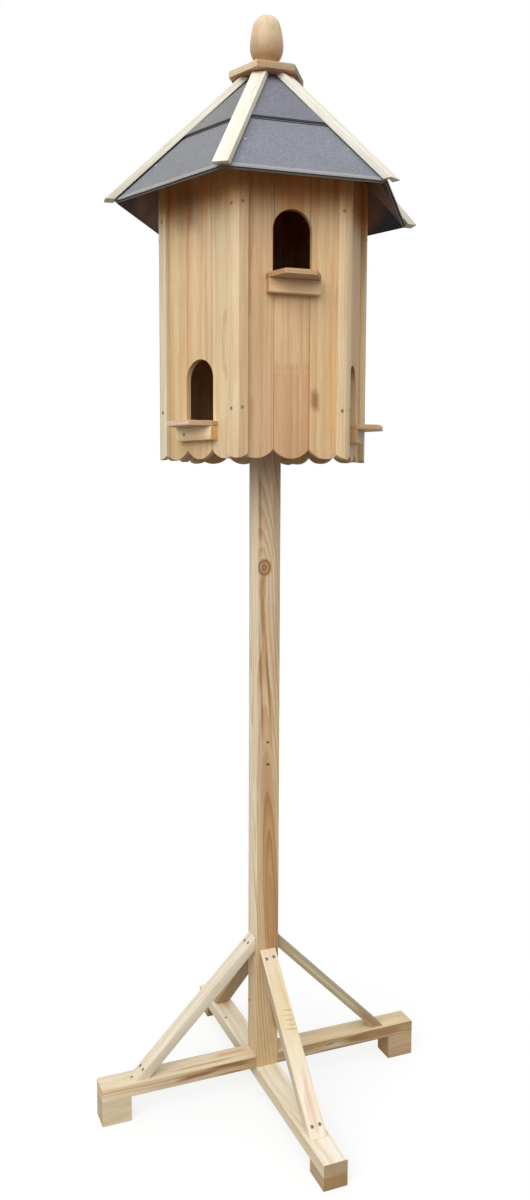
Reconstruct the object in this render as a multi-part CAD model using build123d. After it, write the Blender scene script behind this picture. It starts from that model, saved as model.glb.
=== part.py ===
from build123d import *
import os
from math import atan, cos, radians, sin, tan

# Wooden dovecote: a six-sided house of upright boards under a two-course roof,
# carried by one square post on a braced cross foot.
# Millimetres. +Z is up, the ground is Z = 0 and the post's axis is the Z axis.
# The foot's long beam runs along Y, its two arms along X; the front is -Y.

# Timber
POST_SIZE = 45.0
PLANK = 23.5            # thickness of the foot's beam, arms and blocks
BOARD = 10.0            # thickness of the wall boards
JOINT_GAP = 0.1         # clearance left where two cut pieces meet

# Cross foot
FOOT_SPAN = 650.0       # tip to tip, both ways
FOOT_BLOCK = 55.0       # length of a block under a tip
BRACE_REACH = 237.5     # how far a brace climbs the post and runs out along its beam
BRACE_WIDTH = 32.0
BRACE_THICK = 18.0

# House
HOUSE_TURN = -6.4       # degrees the house is turned on its post
HOUSE_BASE = 1214.0     # lowest point of the scalloped edge
EAVE_RISE = 443.5       # from there to the top of the covering at the eave
SILL_RISE = 63.0        # from there to the sill of a lower entrance hole
TIER_STEP = 237.5       # from a lower sill to the upper one
WALL_APOTHEM = 161.5    # axis to the outside of a wall
BOARDS_PER_WALL = 3
SCALLOP_RISE = 16.0
FLOOR_THICK = 12.0
FLOOR_DROP = 14.0       # floor surface below the sills it serves
HOLE_WIDTH = 67.0
HOLE_HEIGHT = 106.0

# Landing shelf, and the cleat it stands on
SHELF_BACK = 92.0
SHELF_FRONT = 54.0
SHELF_DEPTH = 52.0
SHELF_END = 14.0        # how far its ends run out square before it tapers
SHELF_THICK = 8.5
CLEAT_WIDTH = 90.0
CLEAT_DEPTH = 16.0
CLEAT_HEIGHT = 23.0

# Corner batten: two legs folded round the corner, parallel to the walls
BATTEN_LEG = 21.0
BATTEN_THICK = 9.0
BATTEN_NOSE = 9.0       # width of the flat planed off the fold

# Roof
ROOF_PITCH = 47.5       # slope of each face
EAVE_OVERHANG = 73.5    # lower edge of the covering beyond the walls
DECK_THICK = 4.0
FELT_THICK = 2.0
FELT_OVERHANG = 3.0     # the covering's edge beyond the boards under it
LAP_APOTHEM = 134.5     # axis to the lower edge of the upper course
LAP_LENGTH = 25.0       # how far it covers the lower course
LAP_GAP = 1.0           # how far that edge stands off the lower course
HIP_WIDTH = 26.0
HIP_RISE = 10.5         # hip batten's face above the covering's ridge, square to it
HIP_THICK = 16.5
HIP_OVERHANG = 18.0     # tip of a hip batten beyond the covering's corner
CAP_DROP = 33.4         # cap's underside below the peak of the covering's planes
CAP_RADIUS = 69.0
CAP_THICK = 13.0
CAP_BEVEL = 2.5
FINIAL_HEIGHT = 96.0
# Finial turning: height up the finial as a share of the whole, and radius there
FINIAL_BASE = [(0.0, 19.0), (0.06, 20.5), (0.12, 18.0), (0.16, 17.5)]
FINIAL_BODY = [(0.16, 17.5), (0.22, 20.5), (0.29, 25.2), (0.36, 28.0), (0.45, 29.7),
               (0.55, 29.5), (0.65, 28.1), (0.76, 26.3), (0.86, 23.7), (0.92, 20.8),
               (0.97, 16.3), (1.0, 9.0)]

FACES = ["front", "front_right", "back_right", "back", "back_left", "front_left"]
SIDES = len(FACES)
half_turn = 180 / SIDES
half_angle = radians(half_turn)
HIGH_HOLES = [0]        # walls with an entrance in the upper tier
LOW_HOLES = [1, 5]      # and in the lower; the three walls at the back are plain
CORNERS = ["front_right", "right", "back_right", "back_left", "left", "front_left"]

os.makedirs("parts", exist_ok=True)


def save(name, shape):
    export_step(shape, f"parts/{name}.step")


def block(x, y, z):
    """A box from its low and high value on each axis."""
    size = (x[1] - x[0], y[1] - y[0], z[1] - z[0])
    return Pos(x[0], y[0], z[0]) * Box(*size, align=(Align.MIN, Align.MIN, Align.MIN))


def across_x(outline, width):
    """A Y-Z outline given width along X, centred on X = 0."""
    face = make_face(Polyline(*[(0, y, z) for y, z in outline], close=True))
    return extrude(face, width / 2, dir=(1, 0, 0), both=True)


def from_plan(outline, low, high):
    """An X-Y outline given height from low to high."""
    face = make_face(Polyline(*[(x, y, low) for x, y in outline], close=True))
    return extrude(face, high - low, dir=(0, 0, 1))


def at_wall(shape, i):
    """Moves a piece made for the front wall to wall i."""
    return Rot(0, 0, HOUSE_TURN + 2 * half_turn * i) * shape


def at_corner(shape, i):
    """Moves a piece made over -Y to the corner after wall i."""
    return Rot(0, 0, HOUSE_TURN + half_turn * (2 * i + 1)) * shape


# ---------------------------------------------------------------- cross foot
half_post = POST_SIZE / 2
half_span = FOOT_SPAN / 2
beam_top = 2 * PLANK
arm_top = 3 * PLANK
across = (-half_post, half_post)


def outward(side, near, far):
    """The low and high value of a span that runs out from the post on one side."""
    return sorted((side * near, side * far))


save("foot_beam", block(across, (-half_span, half_span), (PLANK, beam_top)))
for side, end in ((-1, "front"), (1, "back")):
    tip = outward(side, half_span - FOOT_BLOCK, half_span)
    save(f"foot_block_{end}", block(across, tip, (0, PLANK)))
for side, end in ((-1, "left"), (1, "right")):
    tip = outward(side, half_span - FOOT_BLOCK, half_span)
    save(f"foot_block_{end}", block(tip, across, (0, beam_top)))
    arm = outward(side, half_post + JOINT_GAP, half_span)
    save(f"foot_arm_{end}", block(arm, across, (beam_top, arm_top)))


def brace(base):
    """A 45 degree brace over -Y: plumb cut against the post, level cut on its beam."""
    cut = BRACE_THICK / cos(radians(45))
    post_face = -half_post - JOINT_GAP
    toe = post_face - BRACE_REACH
    head = base + BRACE_REACH
    outline = [(post_face, head), (toe, base), (toe + cut, base), (post_face, head - cut)]
    return across_x(outline, BRACE_WIDTH)


for turn, end, base in ((0, "front", beam_top), (90, "right", arm_top),
                        (180, "back", beam_top), (270, "left", arm_top)):
    save(f"brace_{end}", Rot(0, 0, turn) * brace(base + JOINT_GAP))

# ---------------------------------------------------------------- roof planes
pitch = radians(ROOF_PITCH)
slope = tan(pitch)
eave = WALL_APOTHEM + EAVE_OVERHANG                 # axis to the covering's lower edge
cover_peak = HOUSE_BASE + EAVE_RISE + eave * slope  # covering carried up to the axis
cap_base = cover_peak - CAP_DROP
reach = 1.5 * eave                                  # clears every piece of the house


def peak(offset):
    """Where a plane parallel to the covering, offset square to it, meets the axis."""
    return cover_peak + offset / cos(pitch)


def below(offset):
    """All that lies under such a plane, over the front wall."""
    top = peak(offset)
    outline = [(reach, 0), (-reach, 0), (-reach, top - reach * slope), (0, top), (reach, top)]
    return across_x(outline, 4 * reach)


def below_hip(offset):
    """All that lies under the two faces that meet over -Y."""
    return Rot(0, 0, half_turn) * below(offset) & Rot(0, 0, -half_turn) * below(offset)


def sector():
    """The sixth of the plan behind the front wall, less the joint clearance."""
    apex = JOINT_GAP / sin(half_angle)
    half = (reach - apex) * tan(half_angle)
    return from_plan([(0, -apex), (half, -reach), (-half, -reach)], 0, cover_peak)


deck_under = -FELT_THICK - DECK_THICK
one_sixth = sector()

# ---------------------------------------------------------------- house
wall_inside = WALL_APOTHEM - BOARD
lower_sill = HOUSE_BASE + SILL_RISE
upper_sill = lower_sill + TIER_STEP
wall_width = 2 * WALL_APOTHEM * tan(half_angle)
board_width = wall_width / BOARDS_PER_WALL


def entrance(sill):
    """The arched hole through a wall."""
    radius = HOLE_WIDTH / 2
    crown = sill + HOLE_HEIGHT
    spring = crown - radius
    arch = ThreePointArc((radius, 0, spring), (0, 0, crown), (-radius, 0, spring))
    legs = Polyline((-radius, 0, spring), (-radius, 0, sill), (radius, 0, sill),
                    (radius, 0, spring))
    hole = extrude(make_face([arch, legs]), 3 * BOARD, dir=(0, -1, 0))
    return Pos(0, BOARD - wall_inside, 0) * hole


def wall():
    """Upright boards with scalloped feet, mitred ends and the roof's cut on top."""
    foot = HOUSE_BASE + SCALLOP_RISE
    edges = [board_width * n - wall_width / 2 for n in range(BOARDS_PER_WALL + 1)]
    rim = []
    for low, high in zip(edges, edges[1:]):
        middle = (low + high) / 2
        rim.append(ThreePointArc((low, 0, foot), (middle, 0, HOUSE_BASE), (high, 0, foot)))
    left, right = edges[0], edges[-1]
    rim.append(Polyline((right, 0, foot), (right, 0, cover_peak), (left, 0, cover_peak),
                        (left, 0, foot)))
    boards = Pos(0, -wall_inside, 0) * extrude(make_face(rim), BOARD, dir=(0, -1, 0))
    return boards & one_sixth & below(deck_under - JOINT_GAP)


sills = {i: upper_sill for i in HIGH_HOLES} | {i: lower_sill for i in LOW_HOLES}
for i, name in enumerate(FACES):
    pierced = wall() - entrance(sills[i]) if i in sills else wall()
    save(f"wall_{name}", at_wall(pierced, i))


def corner_batten():
    """A strip folded round the corner over -Y, its foot rounded like a scallop."""
    fold = (WALL_APOTHEM + BATTEN_THICK) / cos(half_angle)
    back = (WALL_APOTHEM + JOINT_GAP) / cos(half_angle)
    leg_x, leg_y = BATTEN_LEG * cos(half_angle), BATTEN_LEG * sin(half_angle)
    edge = BATTEN_THICK - JOINT_GAP
    edge_x, edge_y = edge * sin(half_angle), edge * cos(half_angle)
    nose = BATTEN_NOSE / 2
    side = [(nose, nose * tan(half_angle) - fold), (leg_x, leg_y - fold),
            (leg_x - edge_x, leg_y - fold + edge_y)]
    mirrored = [(-x, y) for x, y in reversed(side)]
    strip = from_plan(side + [(0, -back)] + mirrored, 0, cover_peak)
    rise = SCALLOP_RISE / 2
    foot = ThreePointArc((-leg_x, 0, HOUSE_BASE + rise), (0, 0, HOUSE_BASE),
                         (leg_x, 0, HOUSE_BASE + rise))
    body = Polyline((leg_x, 0, HOUSE_BASE + rise), (leg_x, 0, cover_peak),
                    (-leg_x, 0, cover_peak), (-leg_x, 0, HOUSE_BASE + rise))
    face = extrude(make_face([foot, body]), 2 * WALL_APOTHEM, dir=(0, -1, 0))
    return strip & face & below_hip(deck_under - JOINT_GAP)


for i, name in enumerate(CORNERS):
    save(f"corner_batten_{name}", at_corner(corner_batten(), i))


def floor_plate(sill):
    """A six-sided floor that fits between the walls."""
    radius = (wall_inside - JOINT_GAP) / cos(half_angle)
    plate = extrude(RegularPolygon(radius, SIDES), -FLOOR_THICK)
    return Pos(0, 0, sill - FLOOR_DROP) * Rot(0, 0, HOUSE_TURN) * plate


save("floor_lower", floor_plate(lower_sill))
save("floor_upper", floor_plate(upper_sill))
post_top = lower_sill - FLOOR_DROP - FLOOR_THICK
save("post", block(across, across, (beam_top, post_top)))


def shelf(sill):
    """A landing shelf level with the sill, tapering towards its front edge."""
    back = -WALL_APOTHEM - JOINT_GAP
    front = back - SHELF_DEPTH
    left = [(-SHELF_BACK / 2, back), (-SHELF_BACK / 2, back - SHELF_END),
            (-SHELF_FRONT / 2, front)]
    outline = left + [(-x, y) for x, y in reversed(left)]
    board = from_plan(outline, sill - SHELF_THICK, sill)
    corners = board.edges().filter_by(Axis.Z).sort_by(Axis.Y)[:2]
    return fillet(corners, 5)


def cleat(sill):
    """The block screwed to the wall under a landing shelf."""
    top = sill - SHELF_THICK - JOINT_GAP
    back = -WALL_APOTHEM - JOINT_GAP
    return block((-CLEAT_WIDTH / 2, CLEAT_WIDTH / 2), (back - CLEAT_DEPTH, back),
                 (top - CLEAT_HEIGHT, top))


for i, sill in sills.items():
    save(f"landing_shelf_{FACES[i]}", at_wall(shelf(sill), i))
    save(f"shelf_cleat_{FACES[i]}", at_wall(cleat(sill), i))

# ---------------------------------------------------------------- roof
under_cap = block((-reach, reach), (-reach, reach), (0, cap_base - JOINT_GAP))


def roof_sheet(low_edge, low_offset, high_edge, high_offset, thick):
    """A sheet on one roof face. Each end is given by its distance from the axis and
    by the height of its underside above the covering's plane, square to it."""
    rise = thick / cos(pitch)
    low_z = peak(low_offset) - low_edge * slope
    high_z = peak(high_offset) - high_edge * slope
    outline = [(-low_edge, low_z), (-high_edge, high_z), (-high_edge, high_z + rise),
               (-low_edge, low_z + rise)]
    return across_x(outline, 2 * reach) & one_sixth & under_cap


gap = JOINT_GAP
top_edge = 10.0         # above the cap's underside, so every sheet is cut level there
deck_edge = eave - FELT_OVERHANG
lap_end = LAP_APOTHEM - LAP_LENGTH * cos(pitch)
lap_lift = LAP_GAP + FELT_THICK * (LAP_APOTHEM - lap_end) / (lap_end - top_edge)
deck = roof_sheet(deck_edge, deck_under, top_edge, deck_under, DECK_THICK)
lower_felt = roof_sheet(eave, gap - FELT_THICK, lap_end, gap - FELT_THICK, FELT_THICK)
upper_felt = roof_sheet(LAP_APOTHEM, 2 * gap + lap_lift, top_edge, 2 * gap - FELT_THICK,
                        FELT_THICK)
for i, name in enumerate(FACES):
    save(f"roof_deck_{name}", at_wall(deck, i))
save("felt_lower_course", Compound([at_wall(lower_felt, i) for i in range(SIDES)]))
save("felt_upper_course", Compound([at_wall(upper_felt, i) for i in range(SIDES)]))

hip_slope = slope * cos(half_angle)
hip_rake = atan(hip_slope)
hip_tip = eave / cos(half_angle) + HIP_OVERHANG
lap_high = FELT_THICK + lap_lift + 4 * gap      # how high the upper course's edge stands


def hip_batten():
    """A straight batten down the hip over -Y, level cut at its foot, its underside
    cut to a V that sits on the upper course's edge and bridges the lower course."""
    crown = cover_peak + HIP_RISE / cos(hip_rake)
    back = crown - HIP_THICK / cos(hip_rake)
    foot = crown - hip_tip * hip_slope
    heel = hip_tip - HIP_THICK / sin(hip_rake)
    outline = [(-hip_tip, foot), (0, crown), (0, back), (-heel, foot)]
    return (across_x(outline, HIP_WIDTH) & under_cap) - below_hip(lap_high)


for i, name in enumerate(CORNERS):
    save(f"hip_batten_{name}", at_corner(hip_batten(), i))

cap = extrude(RegularPolygon(CAP_RADIUS, SIDES), CAP_THICK)
cap = chamfer(cap.edges().group_by(Axis.Z)[-1], CAP_BEVEL)
save("roof_cap", Pos(0, 0, cap_base) * Rot(0, 0, HOUSE_TURN) * cap)


def finial():
    """A turned acorn on a beaded foot."""
    foot = [(radius, 0, share * FINIAL_HEIGHT) for share, radius in FINIAL_BASE]
    body = [(radius, 0, share * FINIAL_HEIGHT) for share, radius in FINIAL_BODY]
    axis = Polyline(body[-1], (0, 0, FINIAL_HEIGHT), (0, 0, 0), foot[0])
    outline = make_face([Polyline(*foot[:2]), Spline(*foot[1:]), Spline(*body), axis])
    return revolve(outline, Axis.Z)


save("finial", Pos(0, 0, cap_base + CAP_THICK) * finial())
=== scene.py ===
from math import atan2, cos, degrees, pi, radians, sin
from random import Random

import bmesh
import bpy
from mathutils import Matrix, Vector, noise


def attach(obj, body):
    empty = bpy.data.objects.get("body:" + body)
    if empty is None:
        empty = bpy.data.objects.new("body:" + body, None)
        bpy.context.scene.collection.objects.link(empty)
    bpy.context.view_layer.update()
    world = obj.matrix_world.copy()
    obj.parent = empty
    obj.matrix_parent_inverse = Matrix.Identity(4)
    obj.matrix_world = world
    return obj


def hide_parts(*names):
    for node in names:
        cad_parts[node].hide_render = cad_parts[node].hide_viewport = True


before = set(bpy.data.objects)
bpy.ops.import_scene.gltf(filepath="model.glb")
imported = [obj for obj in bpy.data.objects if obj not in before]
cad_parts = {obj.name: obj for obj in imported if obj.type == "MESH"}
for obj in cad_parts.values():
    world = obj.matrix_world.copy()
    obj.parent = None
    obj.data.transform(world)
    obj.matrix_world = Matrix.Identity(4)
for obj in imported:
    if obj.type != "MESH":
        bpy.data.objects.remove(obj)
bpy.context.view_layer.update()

# ---------------------------------------------------------------- long beam of the foot
# A planed pine plank laid flat, front to back, with a block under each end. The planks
# are unsealed: a plane leaves pale, dull early wood between harder, browner late-wood
# lines, the arrises are rubbed down with sandpaper, and the sawn ends drink up dirt.
MM = 0.001
ARRIS = 1.3 * MM
chance = Random(11)


def linear(shade):
    """A hex sRGB shade as linear red, green, blue and alpha."""
    parts = [int(shade[i:i + 2], 16) / 255 for i in (1, 3, 5)]
    return [p / 12.92 if p <= 0.04045 else ((p + 0.055) / 1.055) ** 2.4 for p in parts] + [1]


def add(tree, kind, settings, inputs, output=None):
    """Adds one node, sets and links it, and returns the output asked for or in use."""
    made = tree.nodes.new(kind)
    for setting, value in settings.items():
        setattr(made, setting, value)
    for place, value in inputs.items():
        if isinstance(value, bpy.types.NodeSocket):
            tree.links.new(value, made.inputs[place])
        else:
            made.inputs[place].default_value = value
    if output:
        return made.outputs[output]
    return next((o for o in made.outputs if o.enabled), None)


def blank(name):
    """A new material without nodes, and its node tree."""
    finish = bpy.data.materials.new(name)
    finish.use_nodes = True
    finish.node_tree.nodes.clear()
    return finish, finish.node_tree


def waves(along, across):
    """Stretches a noise so that its waves are this long, in mm, along the grain and
    across it."""
    return 1 / (along * MM), 1 / (across * MM), 1 / (across * MM)


def pine(name, ring, figure, sway=18, roughness=0.62, eave=None):
    """Planed pine. Every corner of a mesh says where it lay in its log, so the growth
    rings run as lines and flames down a face and as arcs across a sawn end. Ring is how
    wide they are and sway how far they stray, in mm, and figure how strongly they show.
    From the height of an eave up, the wood is browner: painted shade under the eave, streaked
    with drip stains."""
    finish, tree = blank(name)
    log = add(tree, "ShaderNodeAttribute", {"attribute_name": "log"}, {}, "Vector")
    knot = add(tree, "ShaderNodeAttribute", {"attribute_name": "knot"}, {}, "Vector")
    timber = add(tree, "ShaderNodeAttribute", {"attribute_name": "timber"}, {}, "Color")
    heart = add(tree, "ShaderNodeAttribute", {"attribute_name": "heart"}, {}, "Fac")
    cut = add(tree, "ShaderNodeAttribute", {"attribute_name": "cut"}, {}, "Fac")

    # Distance from the pith, swayed by the tree's own growth. Round a knot the rings
    # turn aside by up to 16 mm, over an eye of 55 by 15 mm
    round_pith = add(tree, "ShaderNodeVectorMath", {"operation": "MULTIPLY"},
                     {0: log, 1: (0, 1, 1)})
    radius = add(tree, "ShaderNodeVectorMath", {"operation": "LENGTH"}, {0: round_pith},
                 "Value")
    slow = add(tree, "ShaderNodeVectorMath", {"operation": "MULTIPLY"},
               {0: log, 1: waves(526, 71.4)})
    bend = add(tree, "ShaderNodeTexNoise", {}, {"Vector": slow, "Scale": 1, "Detail": 2})
    quick = add(tree, "ShaderNodeVectorMath", {"operation": "MULTIPLY"},
                {0: log, 1: waves(90.9, 12.5)})
    ripple = add(tree, "ShaderNodeTexNoise", {}, {"Vector": quick, "Scale": 1, "Detail": 2})
    swayed = add(tree, "ShaderNodeMath", {"operation": "MULTIPLY_ADD"},
                 {0: bend, 1: sway * MM, 2: radius})
    rippled = add(tree, "ShaderNodeMath", {"operation": "MULTIPLY_ADD"},
                  {0: ripple, 1: 2.4 * MM, 2: swayed})
    eye_shape = add(tree, "ShaderNodeVectorMath", {"operation": "MULTIPLY"},
                    {0: knot, 1: (-1 / (55 * MM), 1 / (15 * MM), 1 / (15 * MM))})
    eye_far = add(tree, "ShaderNodeVectorMath", {"operation": "LENGTH"}, {0: eye_shape},
                  "Value")
    eye_fade = add(tree, "ShaderNodeMath", {"operation": "MULTIPLY"}, {0: eye_far, 1: -1})
    eye = add(tree, "ShaderNodeMath", {"operation": "EXPONENT"}, {0: eye_fade})
    age = add(tree, "ShaderNodeMath", {"operation": "MULTIPLY_ADD"},
              {0: eye, 1: -16 * MM, 2: rippled})

    # Growth rings: a slow rise to the late wood, then a sharp stop
    rings = add(tree, "ShaderNodeMath", {"operation": "DIVIDE"}, {0: age, 1: ring * MM})
    year = add(tree, "ShaderNodeMath", {"operation": "FLOOR"}, {0: rings})
    season = add(tree, "ShaderNodeMath", {"operation": "FRACT"}, {0: rings})
    weather = add(tree, "ShaderNodeTexWhiteNoise", {"noise_dimensions": "1D"}, {"W": year},
                  "Value")
    growth = add(tree, "ShaderNodeMapRange", {}, {"Value": weather, "To Min": 0.3})
    rise = add(tree, "ShaderNodeMapRange", {"interpolation_type": "SMOOTHSTEP"},
               {"Value": season, "From Min": 0.2, "From Max": 0.86})
    stop = add(tree, "ShaderNodeMapRange", {"interpolation_type": "SMOOTHSTEP"},
               {"Value": season, "From Min": 0.88, "From Max": 1, "To Min": 1, "To Max": 0})
    risen = add(tree, "ShaderNodeMath", {"operation": "MULTIPLY"}, {0: rise, 1: stop})
    late = add(tree, "ShaderNodeMath", {"operation": "MULTIPLY"}, {0: risen, 1: growth})

    # Fibres: real ones are under 0.1 mm wide, too fine to show, so these are drawn in
    # strands of 1.6 mm and less
    fine = add(tree, "ShaderNodeVectorMath", {"operation": "MULTIPLY"},
               {0: log, 1: waves(45.45, 1.613)})
    fibre = add(tree, "ShaderNodeTexNoise", {}, {"Vector": fine, "Scale": 1, "Detail": 3})
    broad = add(tree, "ShaderNodeVectorMath", {"operation": "MULTIPLY"},
                {0: log, 1: waves(285.7, 22.22)})
    drift = add(tree, "ShaderNodeTexNoise", {}, {"Vector": broad, "Scale": 1, "Detail": 2})

    # Colour: sapwood, the heartwood inside it, late wood, fibres, knot and sawn ends,
    # each a tint over the one before. A knot's core is 20 by 17 mm, with rings of its own
    inside = add(tree, "ShaderNodeMath", {"operation": "SUBTRACT"}, {0: heart, 1: age})
    hearted = add(tree, "ShaderNodeMapRange", {"interpolation_type": "SMOOTHSTEP"},
                  {"Value": inside, "From Min": -4 * MM, "From Max": 6 * MM})
    sap = add(tree, "ShaderNodeMix", {"data_type": "RGBA", "blend_type": "MULTIPLY"},
              {0: hearted, 6: timber, 7: linear("#e1cbba")})
    line = add(tree, "ShaderNodeMath", {"operation": "MULTIPLY"}, {0: late, 1: figure})
    lined = add(tree, "ShaderNodeMix", {"data_type": "RGBA", "blend_type": "MULTIPLY"},
                {0: line, 6: sap, 7: linear("#d4b38b")})
    strand = add(tree, "ShaderNodeMapRange", {},
                 {"Value": fibre, "From Min": 0.42, "From Max": 0.72, "To Max": 0.42})
    stranded = add(tree, "ShaderNodeMix", {"data_type": "RGBA", "blend_type": "MULTIPLY"},
                   {0: strand, 6: lined, 7: linear("#e2d1bc")})
    cloud = add(tree, "ShaderNodeMapRange", {},
                {"Value": drift, "From Min": 0.4, "From Max": 0.75, "To Max": 0.7})
    clouded = add(tree, "ShaderNodeMix", {"data_type": "RGBA", "blend_type": "MULTIPLY"},
                  {0: cloud, 6: stranded, 7: linear("#efe2d4")})
    core_shape = add(tree, "ShaderNodeVectorMath", {"operation": "MULTIPLY"},
                     {0: knot, 1: (1 / (10 * MM), 1 / (8.5 * MM), 1 / (8.5 * MM))})
    core_far = add(tree, "ShaderNodeVectorMath", {"operation": "LENGTH"}, {0: core_shape},
                   "Value")
    core_rings = add(tree, "ShaderNodeMath", {"operation": "PINGPONG"},
                     {0: core_far, 1: 0.24})
    core_shade = add(tree, "ShaderNodeMapRange", {},
                     {"Value": core_rings, "From Max": 0.24, "To Min": 0.4, "To Max": 1})
    core_edge = add(tree, "ShaderNodeMapRange", {"interpolation_type": "SMOOTHSTEP"},
                    {"Value": core_far, "From Min": 0.8, "From Max": 1.15,
                     "To Min": 1, "To Max": 0})
    core = add(tree, "ShaderNodeMath", {"operation": "MULTIPLY"},
               {0: core_edge, 1: core_shade})
    knotted = add(tree, "ShaderNodeMix", {"data_type": "RGBA"},
                  {0: core, 6: clouded, 7: linear("#8d6039")})
    colour = add(tree, "ShaderNodeMix", {"data_type": "RGBA", "blend_type": "MULTIPLY"},
                 {0: cut, 6: knotted, 7: linear("#e7d7c2")})
    # Painted shade under the eave, streaked like drip stains: the wood turns browner from the
    # eave's height up
    if eave:
        place = add(tree, "ShaderNodeTexCoord", {}, {}, "Object")
        height = add(tree, "ShaderNodeSeparateXYZ", {}, {"Vector": place}, "Z")
        streaked_height = add(tree, "ShaderNodeMath", {"operation": "MULTIPLY_ADD"},
                      {0: drift, 1: 70 * MM, 2: height})
        eave_shade_and_stain = add(tree, "ShaderNodeMapRange", {"interpolation_type": "SMOOTHSTEP"},
                    {"Value": streaked_height, "From Min": (eave - 24) * MM,
                     "From Max": (eave + 36) * MM})
        colour = add(tree, "ShaderNodeMix", {"data_type": "RGBA", "blend_type": "MULTIPLY"},
                     {0: eave_shade_and_stain, 6: colour, 7: linear("#fdce9e")})

    # Late wood is denser: it stands up a little from the planed face and shines more
    rough = add(tree, "ShaderNodeMapRange", {},
                {"Value": late, "To Min": roughness, "To Max": roughness - 0.12})
    relief = add(tree, "ShaderNodeMath", {"operation": "MULTIPLY_ADD"},
                 {0: fibre, 1: 0.6, 2: late})
    bump = add(tree, "ShaderNodeBump", {},
               {"Strength": 0.45, "Distance": 0.25 * MM, "Height": relief})
    shader = add(tree, "ShaderNodeBsdfPrincipled", {},
                 {"Base Color": colour, "Roughness": rough, "Normal": bump, "IOR": 1.5,
                  "Specular IOR Level": 0.35})
    add(tree, "ShaderNodeOutputMaterial", {}, {"Surface": shader})
    return finish


def sawn(node):
    """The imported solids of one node, with the triangles of each flat face made one."""
    solid = bmesh.new()
    solid.from_mesh(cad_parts[node].data)
    bmesh.ops.remove_doubles(solid, verts=solid.verts, dist=0.02 * MM)
    bmesh.ops.dissolve_limit(solid, angle_limit=radians(0.4), verts=solid.verts,
                             edges=solid.edges)
    return solid


def ease(solid, arris=ARRIS):
    """Rounds every arris of a sawn piece, as sandpaper does."""
    arrises = [e for e in solid.edges if len(e.link_faces) == 2
               and e.calc_face_angle() > radians(24)]
    bmesh.ops.bevel(solid, geom=arrises, offset=arris, segments=2, profile=0.6,
                    affect="EDGES", clamp_overlap=True)
    return solid


NO_KNOT = (9, 9, 9)     # far from every piece


def grain(solid, along, wide, shade, faces=None, heart=0.0, knot=NO_KNOT, size=1, pith=None):
    """Gives faces their place in the log: along runs with the trunk and wide looks out
    of the plank's face. The pith lies behind that face, where it isn't given. Pith and
    knot are places and heart a radius, in metres. A knot of size 1 is 20 mm across."""
    faces = list(faces or solid.faces)
    along = Vector(along).normalized()
    side = along.cross(Vector(wide)).normalized()
    out = side.cross(along)
    turn = Matrix((along, side, out))
    if pith is None:
        middle = sum((f.calc_center_median() for f in faces), Vector()) / len(faces)
        pith = (middle - out * chance.uniform(38, 105) * MM
                + side * chance.uniform(-26, 26) * MM + along * chance.uniform(-4, 4))
    knot = turn @ Vector(knot)
    loops = solid.loops.layers
    in_log = loops.float_vector.get("log") or loops.float_vector.new("log")
    by_knot = loops.float_vector.get("knot") or loops.float_vector.new("knot")
    timber = loops.float_color.get("timber") or loops.float_color.new("timber")
    hearted = loops.float.get("heart") or loops.float.new("heart")
    cut = loops.float.get("cut") or loops.float.new("cut")
    for face in faces:
        end = max(0.0, (abs(face.normal.dot(along)) - 0.6) / 0.4)
        for corner in face.loops:
            corner[in_log] = turn @ (corner.vert.co - Vector(pith))
            corner[by_knot] = (turn @ corner.vert.co - knot) / size
            corner[timber] = linear(shade)
            corner[hearted] = heart
            corner[cut] = end
    return solid


def tint(solid, side, shade, far_shade=None, run=None):
    """Gives the faces on one side their own shade: a sap or heart side's own shade, and also
    painted light and shade on sides that are lit or shaded. With a run, a pair of heights or
    distances down an axis, it goes over to a second shade."""
    timber = solid.loops.layers.float_color["timber"]
    for face in solid.faces:
        if face.normal.dot(Vector(side)) > 0.7:
            for corner in face.loops:
                share = 0.0
                if run:
                    axis, start, end = run
                    share = (corner.vert.co[axis] - start * MM) / ((end - start) * MM)
                near, far = linear(shade), linear(far_shade or shade)
                corner[timber] = [a + (b - a) * min(1, max(0, share))
                                  for a, b in zip(near, far)]
    return solid


def piece(name, solid, finish, slot, *stands_for):
    """Makes the object of a finished solid, smooth everywhere but at its arrises."""
    mesh = bpy.data.meshes.new(name)
    solid.to_mesh(mesh)
    solid.free()
    mesh.materials.append(finish)
    mesh.shade_smooth()
    mesh.set_sharp_from_angle(angle=radians(26))
    made = bpy.data.objects.new(name, mesh)
    bpy.context.scene.collection.objects.link(made)
    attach(made, "root")
    if stands_for:
        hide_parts(*stands_for)
    return made


# Fast-grown pine, its rings 3 to 5 mm wide: pale, with thin soft lines
foot_pine = pine("planed_pine_foot", ring=3.6, figure=0.36)
beam = grain(ease(sawn("foot_beam")), (0, 1, 0), (0, 0, 1), "#f4eedb")
tint(beam, (0, 0, 1), "#f2ebd2", "#fcf8e9", (1, -40, -200))
tint(beam, (-1, 0, 0), "#e2d7ba")
tint(beam, (0, -1, 0), "#c6baa5")
piece("long_beam", beam, foot_pine, "pale_pine", "foot_beam")
# The back block is painted darker than the front one: painted shade, as it stands in shadow
# behind the post
for end, shade in (("front", "#b29d7b"), ("back", "#a3986f")):
    block = grain(ease(sawn(f"foot_block_{end}")), (0, 1, 0), (0, 0, -1), shade)
    piece(f"{end}_block", block, foot_pine, "pale_pine", f"foot_block_{end}")

# ---------------------------------------------------------------- arms of the foot
# Two shorter lengths of the same plank, butted to the post on top of the beam. Each
# stands on a block as high as two planks. Both were sawn with one edge by the heart.
POST_FACE = -22.5       # front of the post and the arms, in mm
ARM_TOP = 70.5          # above the ground


def score(solid, faces, spot, out):
    """Cuts faces along a plane without parting them, so that a shade can change there."""
    around = dict.fromkeys([v for f in faces for v in f.verts]
                           + [e for f in faces for e in f.edges])
    bmesh.ops.bisect_plane(solid, geom=list(around) + faces, dist=0.001 * MM, plane_co=spot,
                           plane_no=out)


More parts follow.
